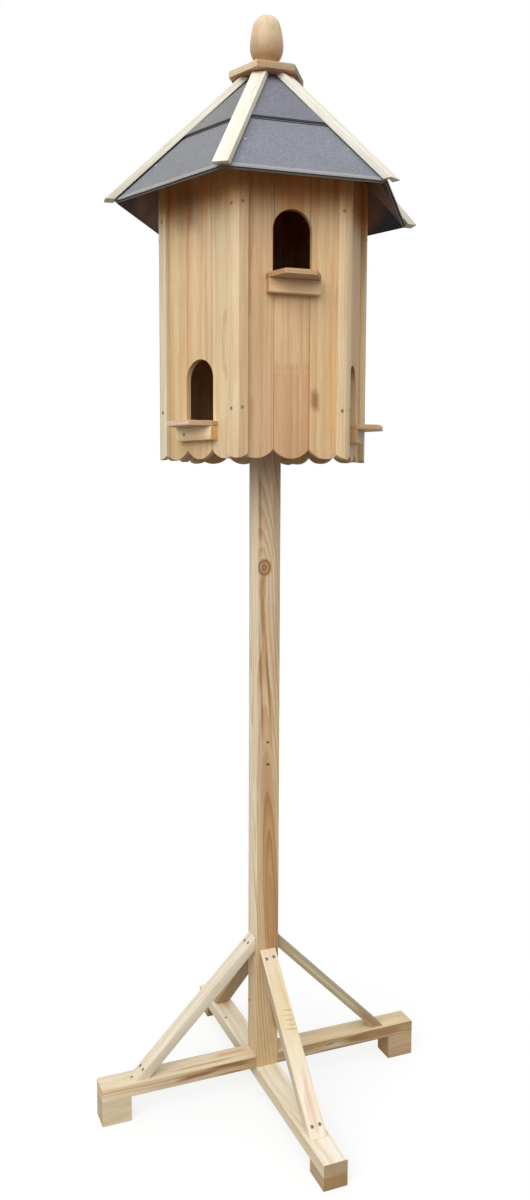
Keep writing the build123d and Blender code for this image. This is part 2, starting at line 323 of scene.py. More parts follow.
def streak(solid, side, start, end, wide, shade):
    """Shades one side along a line between two spots in mm, as resin or bark in the wood
    does, and also as painted shade: full down its middle and fading out to both edges and
    both ends."""
    side, start = Vector(side), Vector(start) * MM
    run = Vector(end) * MM - start
    across = run.cross(side).normalized()
    cuts = [(start + across * share * wide / 2 * MM, across) for share in (-1, -0.3, 0.3, 1)]
    cuts += [(start + run * share, run) for share in (0, 0.3, 0.7, 1)]
    for spot, normal in cuts:
        score(solid, [f for f in solid.faces if f.normal.dot(side) > 0.99], spot, normal)
    timber = solid.loops.layers.float_color["timber"]
    for corner in (c for f in solid.faces if f.normal.dot(side) > 0.99 for c in f.loops):
        gone = corner.vert.co - start
        down = gone.dot(run) / run.length_squared
        off = abs(gone.dot(across)) / (wide / 2 * MM)
        share = min(1, max(0, (1 - off) / 0.7)) * min(1, max(0, min(down, 1 - down) / 0.3))
        corner[timber] = [a + (b - a) * share for a, b in zip(corner[timber], linear(shade))]
    return solid


# Planed close to the heart: strong brown lines
arm_pine = pine("planed_pine_arms", ring=3.0, figure=0.85)
# Both ends of each streak and its width, in mm, and its shade. On the front an end is a
# distance along the arm and a height; on the top it is along the arm and across it
FRONT_STREAKS = {
    "left": (((-190, 58), (-92, 61), 12, "#976e50"), ((-125, 66), (-24, 62), 11, "#8f744c")),
    "right": (((50, 53), (200, 56), 13, "#d3bfa3"), ((84, 65), (134, 62), 9, "#b59c68"),
              ((124, 60), (148, 62), 5, "#94734f"), ((150, 59), (250, 61), 17, "#a39066"),
              ((50, 48), (310, 48), 7, "#8f7a62"), ((225, 61), (305, 60), 15, "#a9835f")),
}
TOP_STREAKS = {
    "left": (((-200, -11), (-50, -9), 9, "#cfb286"), ((-110, 7), (-24, 9), 16, "#dfbb95")),
    "right": (((20, -12), (330, -12), 20, "#f6e2bd"),),
}
for end, shade, side_shade, end_shade, heart, pith, block_shade in (
        ("left", "#eee4c8", "#ae8f66", "#e8d9ba", 0.044, (0, -0.058, 0.044), "#dcd0b1"),
        ("right", "#e6dab8", "#b3a082", "#b8a27a", 0.040, (0, -0.054, 0.064), "#bda281")):
    arm = grain(ease(sawn(f"foot_arm_{end}")), (1, 0.01, 0), (0, 0, 1), shade, heart=heart,
                pith=pith)
    tint(arm, (0, -1, 0), side_shade, end_shade, (0, 25, -300 if end == "left" else 300))
    for near, far, wide, tone in FRONT_STREAKS[end]:
        streak(arm, (0, -1, 0), (near[0], POST_FACE, near[1]), (far[0], POST_FACE, far[1]),
               wide, tone)
    for near, far, wide, tone in TOP_STREAKS[end]:
        streak(arm, (0, 0, 1), (*near, ARM_TOP), (*far, ARM_TOP), wide, tone)
    piece(f"{end}_arm", arm, arm_pine, "pale_pine", f"foot_arm_{end}")
    block = grain(ease(sawn(f"foot_block_{end}")), (1, 0, 0), (0, -1, 0), block_shade)
    tint(block, (-1, 0, 0), "#cdc8b3" if end == "left" else "#b29a74")
    piece(f"{end}_block", block, foot_pine, "pale_pine", f"foot_block_{end}")

# ---------------------------------------------------------------- post
# One 45 mm square length whose pith crosses the front face at a slant, so the pinkish
# heartwood opens on it in a long flame. A branch left a round knot high on that face,
# with resin streaks running down from it, and three twigs left pin knots.
TRUNK = (-0.045, 0.065, 1)          # direction of the pith
PITH = (-0.004, -0.0045, 0.625)     # a place on it
# Both ends of each streak down the front and its width, in mm, and its shade. An end is
# a distance to the right of the middle and a height
RESIN = (((-15.5, 1012), (-9.5, 858), 13, "#ac865c"), ((-20, 930), (-10, 670), 6, "#b28e67"),
         ((-10, 940), (8.5, 670), 7, "#b08c61"), ((13, 1240), (14, 1020), 19, "#c6ab85"),
         ((-19.5, 1215), (-17.5, 1026), 8, "#bfa37c"),
         ((-13, 1006), (-13, 955), 17, "#b8966e"), ((17, 1240), (17, 740), 16, "#c9b198"))


def lying(spot, out):
    """The place of something flat that lies at a spot on a face and looks out of it."""
    return Matrix.Translation(spot) @ Vector(out).to_track_quat("Z", "Y").to_matrix().to_4x4()


# Wide rings that hardly stray: long clean lines on each side of the flame
post_pine = pine("planed_pine_post", ring=5.2, figure=0.68, sway=8)
post = ease(sawn("post"))
# Cuts across the post, so that its shades can change on the way down
for height in (660, 460, 330, 240):
    score(post, post.faces[:], (0, 0, height * MM), (0, 0, 1))
grain(post, TRUNK, (0, -1, 0), "#dbc29d", heart=0.0272, knot=(-0.0095, -0.0225, 1.020),
      size=1.75, pith=PITH)
# Near the foot the heartwood is narrower
hearted = post.loops.layers.float["heart"]
for corner in (c for f in post.faces for c in f.loops if c.vert.co.z < 0.47):
    corner[hearted] = 0.0215
tint(post, (0, -1, 0), "#e3cdac", "#cdb58a", (2, 1200, 70))
# The left side is sapwood all the way
grain(post, TRUNK, (0, -1, 0), "#ebdfc4", pith=PITH,
      faces=[f for f in post.faces if f.normal.x < -0.5])
# Painted shade under the left brace's head: the left side darkens below 330 mm
tint(post, (-1, 0, 0), "#ebdfc4", "#d6c19c", (2, 330, 240))
for start, end, wide, shade in RESIN:
    streak(post, (0, -1, 0), (start[0], POST_FACE, start[1]), (end[0], POST_FACE, end[1]),
           wide, shade)
piece("square_post", post, post_pine, "post_pine", "post")
pin_knots = bmesh.new()
for spot, radius, out in (((-1, POST_FACE - 0.12, 690.6), 2.6, (0, -1, 0)),
                          ((-1, POST_FACE - 0.12, 647.9), 2.9, (0, -1, 0)),
                          ((POST_FACE - 0.12, 15, 167), 2.4, (-1, 0, 0))):
    place = lying(Vector(spot) * MM, out) @ Matrix.Diagonal((1.3, 0.8, 1, 1))
    bmesh.ops.create_cone(pin_knots, cap_ends=True, segments=14, radius1=radius * MM,
                          radius2=radius * MM, depth=0.3 * MM, matrix=place)
grain(pin_knots, (1, 0, 0), (0, -1, 0), "#6f4728")
piece("pin_knots", pin_knots, foot_pine, "post_pine")

# ---------------------------------------------------------------- braces
# Four laths at 45 degrees, plumb cut against the post and level cut on the foot, each
# held by two countersunk screws at either end.
SCREW_HEAD = 3.3 * MM
COUNTER = 0.5 * MM      # how far a head shows above the wood
BEAM_TOP = 47           # above the ground, in mm
BRACE_TOP = 237.6       # where the outer face meets the post, above the beam or arm
BRACE_SHADES = {"front": "#e9dcc0", "right": "#b0a284", "back": "#b99a70", "left": "#e2dac6"}
# A patch of curly wood on the front brace: two broad pale areas, then ripples across the
# lath. Each has the places across and down of one end and of the other, and its width,
# in mm, and its shade
CURLY = (((1, 35), (1, 182), 34, "#e2d4ae"), ((0, 170), (0, 440), 60, "#eee3d0"),
         ((-5, 116), (18, 119), 4, "#c9b78e"), ((-12, 125), (17, 128), 3, "#cfbd92"),
         ((-6, 134), (17, 136), 4, "#cdbb90"), ((-3, 143), (18, 145), 3, "#cbb98f"),
         ((-10, 150), (17, 153), 4, "#cab88e"))


def on_brace(across, down, base):
    """A place in mm just clear of the front brace's outer face, across it and down it
    from the post, where base is the height that the brace stands on."""
    fall = down * sin(pi / 4)
    return Vector((across, POST_FACE - 0.1 - fall, base + BRACE_TOP - fall))


def screw(heads, spot, out, head=SCREW_HEAD, spin=0.4):
    """Adds a cross-head screw to a mesh of screw heads, lying flat on the wood."""
    seat = lying(spot, out) @ Matrix.Rotation(spin, 4, "Z")
    steps = 24
    rows = []
    # From the rim inwards: share of the radius, share of the height, and whether the
    # row follows the cross
    for share, rise, crossed in ((1, 0, False), (0.96, 0.7, False), (0.88, 1, False),
                                 (0.6, 1, True), (0.36, -0.2, True)):
        row = []
        for n in range(steps):
            angle = 2 * pi * n / steps
            radius = head * share
            if crossed:
                radius *= 1 if n % 6 == 0 else (0.86 if n % 6 in (1, 5) else 0.4)
            place = Vector((radius * cos(angle), radius * sin(angle), rise * COUNTER))
            row.append(heads.verts.new(seat @ place))
        rows.append(row)
    for low, high in zip(rows, rows[1:]):
        for n in range(steps):
            m = (n + 1) % steps
            heads.faces.new((low[n], low[m], high[m], high[n]))
    heads.faces.new(rows[-1])
    heads.faces.new(rows[0][::-1])


def worn_steel(name, shade, roughness):
    """Zinc-plated steel gone dull outdoors: grey metal with cloudy, rougher patches about
    a millimetre across."""
    finish, tree = blank(name)
    place = add(tree, "ShaderNodeTexCoord", {}, {}, "Object")
    patch = add(tree, "ShaderNodeTexNoise", {},
                {"Vector": place, "Scale": 9 / (10 * MM), "Detail": 3})
    dull = add(tree, "ShaderNodeMapRange", {},
               {"Value": patch, "From Min": 0.35, "From Max": 0.7})
    colour = add(tree, "ShaderNodeMix", {"data_type": "RGBA"},
                 {0: dull, 6: linear(shade), 7: linear("#76695a")})
    rough = add(tree, "ShaderNodeMapRange", {},
                {"Value": patch, "To Min": roughness - 0.1, "To Max": roughness + 0.2})
    shader = add(tree, "ShaderNodeBsdfPrincipled", {},
                 {"Base Color": colour, "Roughness": rough, "Metallic": 1})
    add(tree, "ShaderNodeOutputMaterial", {}, {"Surface": shader})
    return finish


# Close, faint lines on pale sapwood
brace_pine = pine("planed_pine_brace", ring=3.0, figure=0.34)
screw_steel = worn_steel("dull_zinc_screws", "#a3978a", 0.45)
foot_screws = bmesh.new()
for end, turn, base in (("front", 0, BEAM_TOP), ("right", 90, ARM_TOP),
                        ("back", 180, BEAM_TOP), ("left", 270, ARM_TOP)):
    spin = Matrix.Rotation(radians(turn), 3, "Z")
    along = spin @ Vector((0, -1, -1))
    out = spin @ Vector((0, -1, 1)).normalized()
    lath = grain(ease(sawn(f"brace_{end}")), along, out, BRACE_SHADES[end])
    if end == "front":
        # Painted shade from the post, over browner wood: the left side is darkest at the top
        tint(lath, (-1, 0, 0), "#ab8c61", "#e6dcc4", (2, 290, 150))
        for start, last, wide, shade in CURLY:
            streak(lath, out, on_brace(*start, base), on_brace(*last, base), wide, shade)
    if end == "right":
        streak(lath, (0, -1, 0), (25, -16, 293), (245, -16, 73), 8, "#c9c0a2")
        streak(lath, (0, -1, 0), (190, -16, 128), (280, -16, 38), 20, "#a58562")
    piece(f"{end}_brace", lath, brace_pine, "pale_pine", f"brace_{end}")
    for across, down in ((-7, 19), (8, 17), (-7, 315), (8, 314)):
        screw(foot_screws, spin @ on_brace(across, down, base) * MM, out,
              spin=chance.uniform(0, 1.5))
# Smaller ones through the left arm and the back of the beam
for spot in ((-264, 1, ARM_TOP + 0.1), (-255, -6, ARM_TOP + 0.1),
             (-14.5, 172.5, BEAM_TOP + 0.1)):
    screw(foot_screws, Vector(spot) * MM, (0, 0, 1), head=2.6 * MM)
piece("foot_screws", foot_screws, screw_steel, "pale_pine")

# ---------------------------------------------------------------- floors
# Two six-sided floors of the same 62 mm boards as the walls, one under each tier of
# entrance holes. They are seen only through the holes and from below.
HOUSE_TURN = -6.4       # degrees that the house is turned on its post
BOARD_WIDTH = 62.16 * MM
FLOOR_GAP = 0.15 * MM   # from the middle of a joint to each board
EAVE = 1659             # height in mm from which the walls are browner with painted shade
# Straight-grained boards, their lines plain to see, and browner under the eave with painted
# shade
wall_pine = pine("planed_pine_boards", ring=4.6, figure=0.42, sway=7, eave=EAVE)


def facing(wall):
    """The turn from the front of the foot to a wall of the house, counted from 0 for the
    front one round by the right. The corner after a wall is half a wall on."""
    return Matrix.Rotation(radians(HOUSE_TURN + 60 * wall), 4, "Z")


def divide(solid, spot, out):
    """Cuts a solid in two at a plane: the part that it looks out on goes, and the cut is
    closed."""
    whole = solid.verts[:] + solid.edges[:] + solid.faces[:]
    cut = bmesh.ops.bisect_plane(solid, geom=whole, dist=0.001 * MM, plane_co=spot,
                                 plane_no=out, clear_outer=True)["geom_cut"]
    rim = [e for e in cut if isinstance(e, bmesh.types.BMEdge)]
    bmesh.ops.holes_fill(solid, edges=rim, sides=0)
    return solid


def joined(planks):
    """Lays several planks in one mesh."""
    whole = bmesh.new()
    for plank in planks:
        part = bpy.data.meshes.new("plank")
        plank.to_mesh(part)
        plank.free()
        whole.from_mesh(part)
        bpy.data.meshes.remove(part)
    return whole


for tier in ("lower", "upper"):
    boards = []
    for n in range(-3, 3):
        board = sawn(f"floor_{tier}")
        board.transform(facing(0).inverted())
        divide(board, (0, (n + 1) * BOARD_WIDTH - FLOOR_GAP, 0), (0, 1, 0))
        divide(board, (0, n * BOARD_WIDTH + FLOOR_GAP, 0), (0, -1, 0))
        ease(board, 0.7 * MM)
        grain(board, (1, 0, 0), (0, 0, 1), chance.choice(("#d2ae83", "#cda77c", "#d9b98c")))
        board.transform(facing(0))
        boards.append(board)
    piece(f"{tier}_floor", joined(boards), wall_pine, "wall_pine", f"floor_{tier}")

# ---------------------------------------------------------------- walls
# Six walls of three upright boards, scalloped at the foot and butted with a small
# vee between them. Each board keeps the shade of its own plank, from straw to a
# pinkish tan. The front wall's middle board is finger-jointed from two lengths.
BOARD_SHADES = {
    "front": ("#ddba90", "#dcba8f", "#e4c698"),
    "front_right": ("#e5c498", "#dfbd91", "#e6c79d"),
    "back_right": ("#e4c598", "#d8b38b", "#e2c296"),
    "back": ("#dfbb91", "#e7caa0", "#dbb78d"),
    "back_left": ("#e6caa0", "#ddba90", "#e3c398"),
    "front_left": ("#e1c699", "#e7c99f", "#e7d2a9"),
}
VEE_SHADE = "#c8a272"
FACE = -161.5           # outside of the front wall, in mm
WALL_GAP = 0.12 * MM    # from the middle of a vee to each board
VEE = 0.9 * MM
FINGER_JOINT = 1364 * MM    # height of its middle
FINGER = 18 * MM            # how long its fingers are
FINGERS = 11
LOWER_LENGTH = "#d6ae83"    # shade of the board below it


def finger_joint(board):
    """Draws a finger joint across the front's middle board: cuts its faces along the
    zigzag, and gives the wood below that a place in another log."""
    level = [((0, 0, FINGER_JOINT + end * FINGER / 2), (0, 0, 1)) for end in (-1, 1)]
    teeth = [(((k - FINGERS // 2) * BOARD_WIDTH / FINGERS, 0, FINGER_JOINT),
              (FINGER, 0, lean * BOARD_WIDTH / (2 * FINGERS)))
             for k in range(FINGERS) for lean in (-1, 1)]
    for spot, across in level + teeth:
        near = [f for f in board.faces if (spot, across) in level
                or abs(f.calc_center_median().z - FINGER_JOINT) < FINGER * 0.55]
        score(board, near, spot, across)
    low = []
    for face in board.faces:
        middle = face.calc_center_median()
        wave = abs((middle.x / BOARD_WIDTH * FINGERS + 0.5) % 1 - 0.5) - 0.25
        if middle.z < FINGER_JOINT + wave * 2 * FINGER:
            low.append(face)
    grain(board, (0, 0, 1), (0, -1, 0), LOWER_LENGTH, faces=low)


for i, name in enumerate(BOARD_SHADES):
    boards = []
    for n, shade in enumerate(BOARD_SHADES[name]):
        board = sawn(f"wall_{name}")
        board.transform(facing(i).inverted())
        if n < 2:
            divide(board, ((n - 0.5) * BOARD_WIDTH - WALL_GAP, 0, 0), (1, 0, 0))
        if n > 0:
            divide(board, ((n - 1.5) * BOARD_WIDTH + WALL_GAP, 0, 0), (-1, 0, 0))
        ease(board, VEE)
        knot = (0.075, FACE * MM, 1.400) if (name, n) == ("front_left", 2) else NO_KNOT
        grain(board, (0, 0, 1), (0, -1, 0), shade, knot=knot, size=0.7)
        if (name, n) == ("front", 1):
            finger_joint(board)
        for side in (-0.6, 0.6):
            tint(board, (side, -0.65, 0), VEE_SHADE)
        if (name, n) == ("front", 2):
            streak(board, (0, -1, 0), (42, FACE, 1290), (41, FACE, 1334), 21, "#ae885b")
        # Painted shadow of the eave, lower down on the left wall's first two boards
        if name == "front_left" and n < 2:
            streak(board, (0, -1, 0), (-33, FACE, 1690), (-33, FACE, 1588), 90, "#bc9e77")
        board.transform(facing(i))
        boards.append(board)
    piece(f"{name}_wall", joined(boards), wall_pine, "wall_pine", f"wall_{name}")

# ---------------------------------------------------------------- corner battens
# A pale strip folded round each corner hides the boards' edges. It is planed flat on
# the fold and screwed to both walls near its foot and under the eave.
BATTEN_SHADES = {"front_right": "#ecd3ab", "right": "#e9d2aa", "back_right": "#e4cea6",
                 "back_left": "#e6d0a8", "left": "#e1d5b8", "front_left": "#e6cea6"}
HALF = radians(30)      # how far each leg leans back from the fold
LEG_FACE = FACE - 9     # outer face of a leg on the front wall
FROM_FOLD = 11          # from the fold to a screw, in mm
SMALL_HEAD = 3.1 * MM
# Closer and fainter lines than the boards have, on paler wood, with painted shade under the
# eave
batten_pine = pine("planed_pine_battens", ring=3.4, figure=0.38, eave=EAVE)
house_screws = bmesh.new()
for i, (name, shade) in enumerate(BATTEN_SHADES.items()):
    turned = facing(i + 0.5)
    strip = ease(sawn(f"corner_batten_{name}"), 1.0 * MM)
    grain(strip, (0, 0, 1), turned @ Vector((0, -1, 0)), shade)
    # Painted light and shade: the leg on the left wall is lighter, the leg on the front
    # darker
    if name == "front_left":
        tint(strip, turned @ Vector((sin(HALF), -cos(HALF), 0)), "#dfc29a")
        tint(strip, turned @ Vector((-sin(HALF), -cos(HALF), 0)), "#ecd6b0")
    piece(f"{name}_corner", strip, batten_pine, "wall_pine", f"corner_batten_{name}")
    for side in (-1, 1):
        out = Vector((side * sin(HALF), -cos(HALF), 0))
        along = Vector((side * cos(HALF), sin(HALF), 0))
        fold = Vector((0, LEG_FACE / cos(HALF), 0))
        for height in (1296, 1623):
            spot = fold + along * FROM_FOLD + Vector((0, 0, height + side))
            screw(house_screws, turned @ spot * MM, turned @ out, head=SMALL_HEAD,
                  spin=chance.uniform(0, 1.5))

# ---------------------------------------------------------------- cleats and shelves
# Under each entrance hole a cleat is screwed to the wall, and a thin landing shelf,
# narrower at the front and round at its corners, is nailed down on it.
CLEAT_FACE = FACE - 16  # outside of the front cleat, in mm
# The cleats' shades are paler than their wood: painted light against the shade under each
# shelf
for i, name, sill, cleat_shade, shelf_shade in (
        (0, "front", 1514.5, "#e6c79c", "#c9a880"),
        (1, "front_right", 1277, "#dcc098", "#d9be96"),
        (5, "front_left", 1277, "#fae2b6", "#e1c7ab")):
    out = facing(i) @ Vector((0, -1, 0))
    along = facing(i) @ Vector((1, 0, 0))
    cleat = ease(sawn(f"shelf_cleat_{name}"), 1.2 * MM)
    grain(cleat, along, out, cleat_shade)
    piece(f"{name}_cleat", cleat, wall_pine, "wall_pine", f"shelf_cleat_{name}")
    if name != "front":
        spot = Vector((-23, CLEAT_FACE - 0.1, sill - 21))
        screw(house_screws, facing(i) @ spot * MM, out, head=SMALL_HEAD)
    shelf = ease(sawn(f"landing_shelf_{name}"), 1.4 * MM)
    grain(shelf, along, (0, 0, 1), shelf_shade)
    piece(f"{name}_shelf", shelf, wall_pine, "wall_pine", f"landing_shelf_{name}")
# Browner than the foot's screws, from the drips off the eave
brown_steel = worn_steel("browned_zinc_screws", "#ad9370", 0.5)
piece("house_screws", house_screws, brown_steel, "wall_pine")

# ---------------------------------------------------------------- roof boards
# Six plywood boards under the felt. Only their undersides show: brown by the walls, with the
# ply's grain, and painted black towards the eave as the shade under the overhang.
EAVE_SHADE = (222 * MM, 242 * MM)      # where the painted eave shade starts and where it is full, out from the axis


def stained_ply(name):
    """Brown plywood, with blotches of 45 mm and faint veneer lines of 2 mm, painted black
    beneath towards the eave as shade under the overhang, and left grey on its cut edge."""
    finish, tree = blank(name)
    place = add(tree, "ShaderNodeTexCoord", {}, {}, "Object")
    blotch = add(tree, "ShaderNodeTexNoise", {},
                 {"Vector": place, "Scale": 1 / (45.45 * MM), "Detail": 4})
    drawn = add(tree, "ShaderNodeVectorMath", {"operation": "MULTIPLY"},
                {0: place, 1: (1 / (25 * MM), 1 / (25 * MM), 1 / (2.381 * MM))})
    veneer = add(tree, "ShaderNodeTexNoise", {}, {"Vector": drawn, "Scale": 1, "Detail": 3})
    colour = add(tree, "ShaderNodeMix", {"data_type": "RGBA"},
                 {0: veneer, 6: linear("#63412b"), 7: linear("#8a6042")})
    worn = add(tree, "ShaderNodeMapRange", {},
               {"Value": blotch, "From Min": 0.45, "From Max": 0.8, "To Max": 0.5})
    blotched = add(tree, "ShaderNodeMix", {"data_type": "RGBA"},
                   {0: worn, 6: colour, 7: linear("#5c4638")})
    plan = add(tree, "ShaderNodeVectorMath", {"operation": "MULTIPLY"},
               {0: place, 1: (1, 1, 0)})
    reach = add(tree, "ShaderNodeVectorMath", {"operation": "LENGTH"}, {0: plan}, "Value")
    # Painted shade: black towards the eave, where the overhang's underside lies in shade
    painted = add(tree, "ShaderNodeMapRange", {"interpolation_type": "SMOOTHSTEP"},
                  {"Value": reach, "From Min": EAVE_SHADE[0], "From Max": EAVE_SHADE[1]})
    eave_shaded = add(tree, "ShaderNodeMix", {"data_type": "RGBA"},
                 {0: painted, 6: blotched, 7: linear("#151412")})
    normal = add(tree, "ShaderNodeNewGeometry", {}, {}, "True Normal")
    down = add(tree, "ShaderNodeSeparateXYZ", {}, {"Vector": normal}, "Z")
    on_edge = add(tree, "ShaderNodeMath", {"operation": "GREATER_THAN"}, {0: down, 1: -0.6})
    edged = add(tree, "ShaderNodeMix", {"data_type": "RGBA"},
                {0: on_edge, 6: eave_shaded, 7: linear("#6e665c")})
    rough = add(tree, "ShaderNodeMapRange", {},
                {"Value": blotch, "To Min": 0.55, "To Max": 0.8})
    bump = add(tree, "ShaderNodeBump", {},
               {"Strength": 0.4, "Distance": 0.2 * MM, "Height": veneer})
    shader = add(tree, "ShaderNodeBsdfPrincipled", {},
                 {"Base Color": edged, "Roughness": rough, "Normal": bump})
    add(tree, "ShaderNodeOutputMaterial", {}, {"Surface": shader})
    return finish


dark_ply = stained_ply("stained_plywood")
for name in BOARD_SHADES:
    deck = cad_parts[f"roof_deck_{name}"]
    for holder in deck.material_slots:
        holder.material = dark_ply

# ---------------------------------------------------------------- felt
# Mineral felt in two courses: bitumen sheet faced with slate-grey granules, cut with a knife,
# so its edge shows black. It lies nearly flat, with a few slow waves, nailed beside the hips,
# and the upper course throws a dark line on the lower one, deepened by a painted shadow just
# below the lap.
GRANULE = 1.6 * MM
LAP = 134.5 * MM        # foot of the upper course, out from the axis
RIM_HIGHLIGHT = (230.5 * MM, 235 * MM)     # where the painted highlight at the eave starts and where it is full
ROOF_PITCH = radians(47.5)
WAVE = 62.5 * MM        # length of the felt's waves
WAVE_HEIGHT = 0.9 * MM
NAIL_RISE = 0.7 * MM    # from the roof to the middle of a nail's head


def mineral_felt(name):
    """Slate granules, 0.5 to 1 mm in life and drawn at 1.6 mm so that they show, with a tone
    of their own on each sheet. A dark band just below the lap is painted shadow, and a pale
    band at the eave is a painted highlight. Reach is how far out from the axis a spot lies."""
    finish, tree = blank(name)
    place = add(tree, "ShaderNodeTexCoord", {}, {}, "Object")
    roll = add(tree, "ShaderNodeAttribute", {"attribute_name": "roll"}, {}, "Color")
    reach = add(tree, "ShaderNodeAttribute", {"attribute_name": "reach"}, {}, "Fac")
    grit = add(tree, "ShaderNodeTexVoronoi", {}, {"Vector": place, "Scale": 1 / GRANULE},
               "Color")
    single = add(tree, "ShaderNodeSeparateColor", {}, {"Color": grit})
    shade = add(tree, "ShaderNodeMix", {"data_type": "RGBA"},
                {0: single, 6: linear("#777983"), 7: linear("#9698a2")})
    cloud = add(tree, "ShaderNodeTexNoise", {},
                {"Vector": place, "Scale": 1 / (71.43 * MM), "Detail": 4})
    pale = add(tree, "ShaderNodeMapRange", {},
               {"Value": cloud, "From Min": 0.35, "From Max": 0.75, "To Max": 0.5})
    washed = add(tree, "ShaderNodeMix", {"data_type": "RGBA"},
                 {0: pale, 6: shade, 7: linear("#7d7d87")})
    toned = add(tree, "ShaderNodeMix", {"data_type": "RGBA", "blend_type": "MULTIPLY"},
                {0: 1, 6: washed, 7: roll})
    # A painted highlight along the felt's rim at the eave
    rim = add(tree, "ShaderNodeMapRange", {"interpolation_type": "SMOOTHSTEP"},
              {"Value": reach, "From Min": RIM_HIGHLIGHT[0], "From Max": RIM_HIGHLIGHT[1], "To Max": 0.6})
    highlighted = add(tree, "ShaderNodeMix", {"data_type": "RGBA"},
                 {0: rim, 6: toned, 7: linear("#bdb8b6")})
    # A painted shadow line on the lower course, just below the lap of the upper one
    from_lap = add(tree, "ShaderNodeMath", {"operation": "SUBTRACT"}, {0: reach, 1: LAP})
    beyond = add(tree, "ShaderNodeMath", {"operation": "GREATER_THAN"},
                 {0: from_lap, 1: 0.2 * MM})
    lap_shadow_edge = add(tree, "ShaderNodeMapRange", {"interpolation_type": "SMOOTHSTEP"},
                    {"Value": from_lap, "From Min": 2.0 * MM, "From Max": 3.2 * MM,
                     "To Min": 1, "To Max": 0})
    lap_shadow = add(tree, "ShaderNodeMath", {"operation": "MULTIPLY"}, {0: beyond, 1: lap_shadow_edge})
    lap_shaded = add(tree, "ShaderNodeMix", {"data_type": "RGBA"},
                 {0: lap_shadow, 6: highlighted, 7: linear("#26272c")})
    hollow = add(tree, "ShaderNodeTexVoronoi", {}, {"Vector": place, "Scale": 1 / GRANULE},
                 "Distance")
    bump = add(tree, "ShaderNodeBump", {"invert": True},
               {"Strength": 0.8, "Distance": 0.4 * MM, "Height": hollow})
    shader = add(tree, "ShaderNodeBsdfPrincipled", {},
                 {"Base Color": lap_shaded, "Roughness": 0.9, "Normal": bump,
                  "Specular IOR Level": 0.3})
    add(tree, "ShaderNodeOutputMaterial", {}, {"Surface": shader})
    return finish


def bitumen(name):
    """Cut bitumen: black, slightly shiny, with torn fibres 2 mm long in it."""
    finish, tree = blank(name)
    place = add(tree, "ShaderNodeTexCoord", {}, {}, "Object")
    torn = add(tree, "ShaderNodeTexNoise", {},
               {"Vector": place, "Scale": 1 / (2 * MM), "Detail": 3})
    colour = add(tree, "ShaderNodeMix", {"data_type": "RGBA"},
                 {0: torn, 6: linear("#17171a"), 7: linear("#3a3937")})
    bump = add(tree, "ShaderNodeBump", {},
               {"Strength": 0.6, "Distance": 0.3 * MM, "Height": torn})
    shader = add(tree, "ShaderNodeBsdfPrincipled", {},
                 {"Base Color": colour, "Roughness": 0.6, "Normal": bump})
    add(tree, "ShaderNodeOutputMaterial", {}, {"Surface": shader})
    return finish


slate_granules = mineral_felt("slate_mineral_felt")
cut_bitumen = bitumen("cut_bitumen_edge")
# The tone of each sheet's roll, laid over the granules, from the front sheet round
ROLLS = {"lower": ("#fcfdfd", "#f3f3f3", "#fafaf8", "#ffffff", "#f7f7f3", "#fcfcf2"),
         "upper": ("#ecebeb", "#f3f3f3", "#f1f1f1", "#f6f6f6", "#f3f3f1", "#f8f6e5")}
for course in ("lower", "upper"):
    felt = sawn(f"felt_{course}_course")
    bmesh.ops.subdivide_edges(felt, edges=[e for e in felt.edges if e.calc_length() > 0.01],
                              cuts=14, use_grid_fill=True)
    felt.normal_update()
    for vert in felt.verts:
        wave = noise.noise(vert.co / WAVE) * 0.5 + 0.5
        level = Vector((vert.co.x, vert.co.y, 0)).normalized()
        out = level * sin(ROOF_PITCH) + Vector((0, 0, cos(ROOF_PITCH)))
        vert.co += out * wave * WAVE_HEIGHT
    reach = felt.loops.layers.float.new("reach")
    roll = felt.loops.layers.float_color.new("roll")
    for face in felt.faces:
        face.material_index = 0 if face.normal.z > 0.3 or course == "lower" else 1
        middle = face.calc_center_median()
        n = round((degrees(atan2(middle.x, -middle.y)) - HOUSE_TURN) / 60) % 6
        out = facing(n) @ Vector((0, -1, 0))
        for corner in face.loops:
            corner[reach] = corner.vert.co.dot(out)
            corner[roll] = linear(ROLLS[course][n])
    sheet = piece(f"{course}_felt", felt, slate_granules, "slate_felt",
                  f"felt_{course}_course")
    sheet.data.materials.append(cut_bitumen)
felt_nails = bmesh.new()
for n in range(6):
    for across in (-87, 87):
        spot = facing(n) @ Vector((across, -183, 1715)) * MM
        out = facing(n) @ Vector((0, -sin(ROOF_PITCH), cos(ROOF_PITCH)))
        bmesh.ops.create_cone(felt_nails, cap_ends=True, segments=16, radius1=2.6 * MM,
                              radius2=2.2 * MM, depth=0.8 * MM,
                              matrix=lying(spot + out * NAIL_RISE, out))
# Newer than the screws and still bright
bright_steel = worn_steel("bright_zinc_nails", "#e8e6df", 0.5)
piece("felt_nails", felt_nails, bright_steel, "slate_felt")

# ---------------------------------------------------------------- hip battens
# Six pale laths run down the hips and hold the felt's edges. Each is cut to a vee
# beneath and level at its foot, and stands out past the eave in a point.
HIP_PITCH = radians(43.18)
# Nearly white sapwood, whose lines hardly show
hip_pine = pine("planed_pine_hips", ring=3.2, figure=0.10)
for i, name in enumerate(BATTEN_SHADES):
    down_hip = facing(i + 0.5) @ Vector((0, -cos(HIP_PITCH), -sin(HIP_PITCH)))
    out = facing(i + 0.5) @ Vector((0, -sin(HIP_PITCH), cos(HIP_PITCH)))
    lath = ease(sawn(f"hip_batten_{name}"), 1.6 * MM)
    grain(lath, down_hip, out, chance.choice(("#f1efe0", "#f3f1e5", "#eeecdb")))
    piece(f"{name}_hip", lath, hip_pine, "pale_pine", f"hip_batten_{name}")

